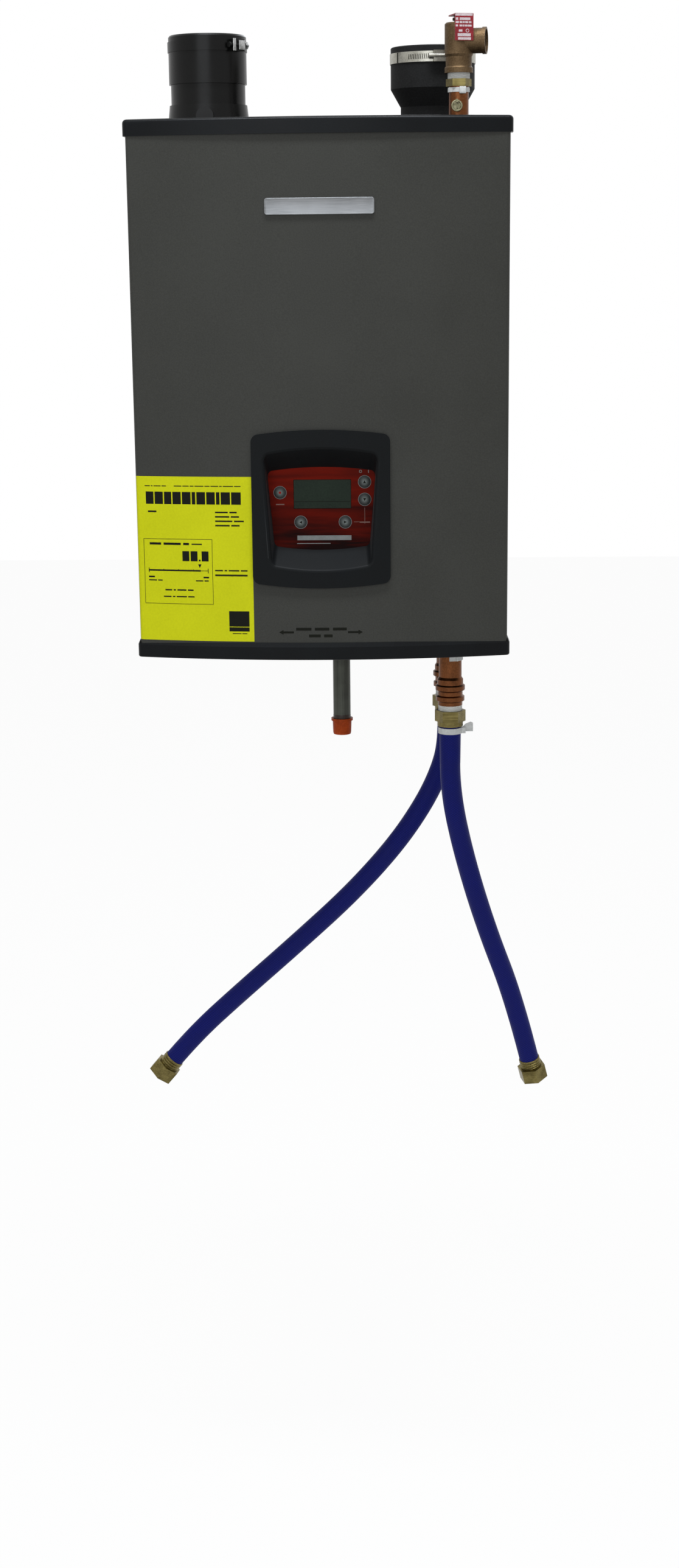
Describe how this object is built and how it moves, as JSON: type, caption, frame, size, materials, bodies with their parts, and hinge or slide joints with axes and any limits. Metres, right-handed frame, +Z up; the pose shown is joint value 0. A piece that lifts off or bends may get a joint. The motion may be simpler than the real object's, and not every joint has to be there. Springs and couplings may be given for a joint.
{
  "type": "combi boiler",
  "caption": "Wall-hung combi boiler with a bowed dark steel cover, a red control panel in a black bezel, flue and air sockets and a relief valve on top, and blue hoses below.",
  "frame": {"origin": "on the wall plane, midway between the two wall fixings", "axes": "+Z up, +Y into the wall, front towards -Y, +X to the viewer's right"},
  "size_m": [0.5142, 0.3284, 1.3017],
  "materials": {
    "cover_grey": "fine textured powder coat",
    "trim_black": "satin moulded plastic",
    "chassis_grey": "painted sheet steel",
    "zinc_steel": "zinc plated",
    "stainless": "brushed stainless",
    "fascia_red": "printed film, glossy",
    "display_grey": "clear lens over a reflective display",
    "key_silver": "metallic lacquer",
    "board_green": "coated circuit board",
    "housing_black": "moulded plastic",
    "vent_black": "moulded polypropylene",
    "boot_rubber": "soft rubber",
    "copper_tube": "dulled copper",
    "bronze_cast": "cast bronze",
    "brass_bright": "machined brass",
    "tape_white": "wound sealing tape",
    "tie_white": "nylon",
    "iron_pipe": "dark steel pipe",
    "cap_orange": "soft plastic cap",
    "hose_blue": "ribbed rubber hose",
    "lever_red": "red enamel",
    "cast_alloy": "die cast"
  },
  "bodies": {
    "cabinet": {"back_panel": "chassis_grey", "bleed_cap": "stainless", "blower_housing": "cast_alloy", "blower_motor": "housing_black", "bottom_plate": "chassis_grey", "brass_nuts": "brass_bright", "burner_door": "cast_alloy", "cable_tie": "tie_white", "condensate_trap": "housing_black", "control_board": "board_green", "control_bracket": "zinc_steel", "control_fascia": "fascia_red", "control_housing": "housing_black", "display_window": "display_grey", "diverter_valve": "brass_bright", "domestic_pipes": "copper_tube", "flue_riser": "vent_black", "flue_sump": "vent_black", "gas_cap": "cap_orange", "gas_pipe": "iron_pipe", "gas_valve": "cast_alloy", "hanger_rail": "zinc_steel", "heat_exchanger": "stainless", "hose_cuffs": "hose_blue", "hose_ends": "brass_bright", "hose_return": "hose_blue", "hose_supply": "hose_blue", "ignition_set": "housing_black", "intake_clamp": "stainless", "intake_coupling": "boot_rubber", "intake_spigot": "vent_black", "mixture_duct": "cast_alloy", "plate_exchanger": "stainless", "press_fittings": "copper_tube", "pump": "housing_black", "relief_valve": "bronze_cast", "return_pipe": "copper_tube", "shell_saddle": "zinc_steel", "side_panel_left": "chassis_grey", "side_panel_right": "chassis_grey", "supply_pipe": "copper_tube", "thread_tape": "tape_white", "top_plate": "chassis_grey", "vent_base": "vent_black", "vent_clamp": "vent_black", "vent_sleeve": "vent_black", "wall_bracket": "zinc_steel"},
    "cover": {"front_cover": "cover_grey", "top_trim": "trim_black", "bottom_trim": "trim_black", "control_bezel": "trim_black", "cover_hooks": "zinc_steel", "latch_studs": "zinc_steel"},
    "reset_key": {"button_reset": "key_silver"},
    "back_key": {"button_back": "key_silver"},
    "next_key": {"button_next": "key_silver"},
    "up_key": {"button_up": "key_silver"},
    "down_key": {"button_down": "key_silver"},
    "fan_wheel": {"blower_wheel": "cast_alloy"},
    "test_lever": {"relief_lever": "lever_red"}
  },
  "joints": [
    {"name": "cover_tilt", "type": "hinge", "parent": "cabinet", "child": "cover", "pos_m": [0, -0.27425, 0.055], "axis": [-1, 0, 0], "range_deg": [0, 25]},
    {"name": "reset_key_press", "type": "slide", "parent": "cabinet", "child": "reset_key", "axis": [0, 1, 0], "range_m": [0, 0.0012], "stiffness_N_per_m": 1200},
    {"name": "back_key_press", "type": "slide", "parent": "cabinet", "child": "back_key", "axis": [0, 1, 0], "range_m": [0, 0.0012], "stiffness_N_per_m": 1200},
    {"name": "next_key_press", "type": "slide", "parent": "cabinet", "child": "next_key", "axis": [0, 1, 0], "range_m": [0, 0.0012], "stiffness_N_per_m": 1200},
    {"name": "up_key_press", "type": "slide", "parent": "cabinet", "child": "up_key", "axis": [0, 1, 0], "range_m": [0, 0.0012], "stiffness_N_per_m": 1200},
    {"name": "down_key_press", "type": "slide", "parent": "cabinet", "child": "down_key", "axis": [0, 1, 0], "range_m": [0, 0.0012], "stiffness_N_per_m": 1200},
    {"name": "fan_spin", "type": "hinge", "parent": "cabinet", "child": "fan_wheel", "pos_m": [0.1285, -0.15, 0], "axis": [0, 0, 1], "continuous": true},
    {"name": "lever_lift", "type": "hinge", "parent": "cabinet", "child": "test_lever", "pos_m": [0.1566, -0.24, 0.1653], "axis": [-0.9659, -0.2588, 0], "range_deg": [0, 65], "stiffness_Nm_per_rad": 0.25}
  ]
}
